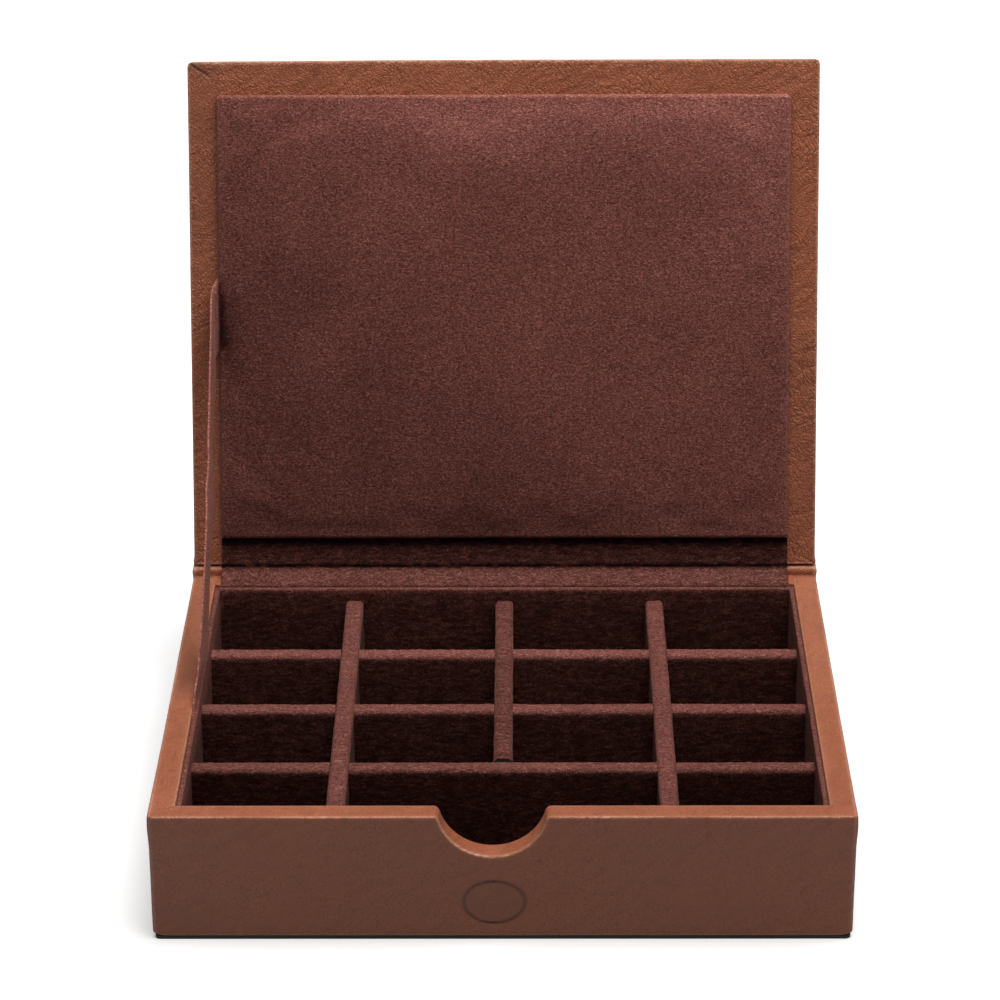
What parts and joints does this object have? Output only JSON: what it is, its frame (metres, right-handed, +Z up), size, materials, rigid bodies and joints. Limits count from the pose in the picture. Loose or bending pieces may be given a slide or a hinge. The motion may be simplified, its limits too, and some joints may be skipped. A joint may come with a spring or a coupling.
{
  "type": "leather jewellery case",
  "caption": "Shallow hinged leather case with a suede-lined tray of compartments, a padded lid held by a suede stay strap, and a thumb notch in the front wall.",
  "frame": {"origin": "centre of the foot panel's underside, where the case stands on a table", "axes": "+X to the right seen from the front, +Y to the back where the hinge is, +Z up"},
  "size_m": [0.25, 0.2618, 0.2465],
  "materials": {
    "leather": "fine-grained full-grain leather, low sheen",
    "suede": "napped microfibre suede, matt",
    "board": "plain fibreboard, hidden inside the leather",
    "card": "plain grey card, hidden behind the suede",
    "foam": "thin padding, hidden under the suede",
    "foot": "dark pressed felt board, matt"
  },
  "bodies": {
    "base": {"foot_panel": "foot", "bottom_board": "board", "front_wall": "board", "back_wall": "board", "left_wall": "board", "right_wall": "board", "base_leather_cover": "leather", "floor_card": "card", "floor_suede": "suede", "front_liner_card": "card", "front_liner_suede": "suede", "back_liner_card": "card", "back_liner_suede": "suede", "left_liner_card": "card", "left_liner_suede": "suede", "right_liner_card": "card", "right_liner_suede": "suede", "long_divider_left_core": "board", "long_divider_left_suede": "suede", "long_divider_centre_core": "board", "long_divider_centre_suede": "suede", "long_divider_right_core": "board", "long_divider_right_suede": "suede", "cross_divider_front_core": "board", "cross_divider_front_suede": "suede", "cross_divider_middle_core": "board", "cross_divider_middle_suede": "suede", "cross_divider_rear_core": "board", "cross_divider_rear_suede": "suede", "hinge_spine": "leather", "hinge_lining": "suede", "stay_strap": "suede"},
    "lid": {"lid_board": "board", "lid_leather_cover": "leather", "pad_board": "board", "pad_foam": "foam", "pad_suede": "suede"}
  },
  "joints": [
    {"name": "lid_hinge", "type": "hinge", "parent": "base", "child": "lid", "pos_m": [0, 0.1015, 0.0523], "axis": [1, 0, 0], "range_deg": [0, 106], "deforming": ["hinge_spine", "hinge_lining", "stay_strap"]}
  ]
}
